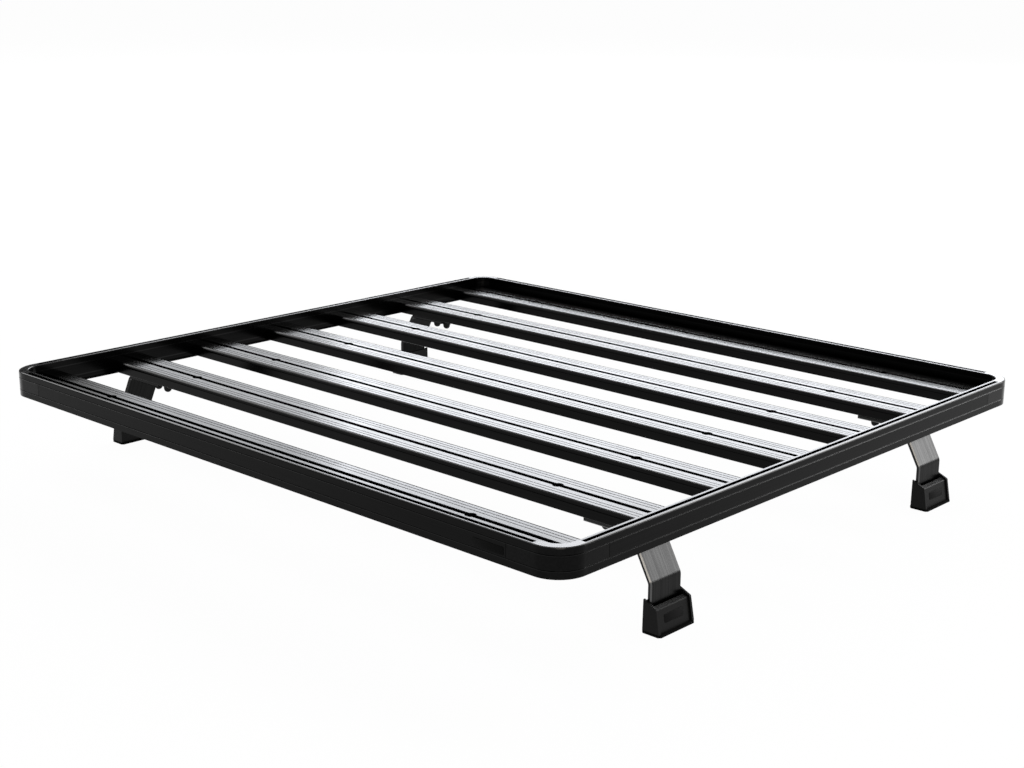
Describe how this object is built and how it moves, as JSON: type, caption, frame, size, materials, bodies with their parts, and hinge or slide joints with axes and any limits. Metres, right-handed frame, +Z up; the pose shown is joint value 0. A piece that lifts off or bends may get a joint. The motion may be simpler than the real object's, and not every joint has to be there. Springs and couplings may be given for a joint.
{
  "type": "truck bed rack",
  "caption": "Flat slatted load tray in a round-cornered frame of slotted rails, held above a truck bed on bent strap legs with covered, padded feet.",
  "frame": {"origin": "on the plane under the foot pads, below the middle of the tray", "axes": "+X across the vehicle along the slats, +Y from front to rear, +Z up"},
  "size_m": [1.4794, 1.358, 0.203],
  "materials": {
    "rail_coating": "satin black anodised",
    "corner_coating": "satin black anodised",
    "slat_coating": "satin black anodised",
    "strap_coating": "satin black anodised, with extrusion lines",
    "bolt_steel": "black oxide",
    "cover_plastic": "fine moulded texture",
    "pad_rubber": "matt"
  },
  "bodies": {
    "root": {"front_rail": "rail_coating", "right_rail": "rail_coating", "rear_rail": "rail_coating", "left_rail": "rail_coating", "front_rail_strip": "rail_coating", "right_rail_strip": "rail_coating", "rear_rail_strip": "rail_coating", "left_rail_strip": "rail_coating", "front_left_corner": "corner_coating", "front_right_corner": "corner_coating", "rear_left_corner": "corner_coating", "rear_right_corner": "corner_coating", "slat_1": "slat_coating", "slat_2": "slat_coating", "slat_3": "slat_coating", "slat_4": "slat_coating", "slat_5": "slat_coating", "slat_6": "slat_coating", "slat_7": "slat_coating", "front_left_leg": "strap_coating", "front_left_leg_bolts": "bolt_steel", "front_left_foot_cover": "cover_plastic", "front_left_foot_pad": "pad_rubber", "front_right_leg": "strap_coating", "front_right_leg_bolts": "bolt_steel", "front_right_foot_cover": "cover_plastic", "front_right_foot_pad": "pad_rubber", "rear_left_leg": "strap_coating", "rear_left_leg_bolts": "bolt_steel", "rear_left_foot_cover": "cover_plastic", "rear_left_foot_pad": "pad_rubber", "rear_right_leg": "strap_coating", "rear_right_leg_bolts": "bolt_steel", "rear_right_foot_cover": "cover_plastic", "rear_right_foot_pad": "pad_rubber"}
  },
  "joints": []
}
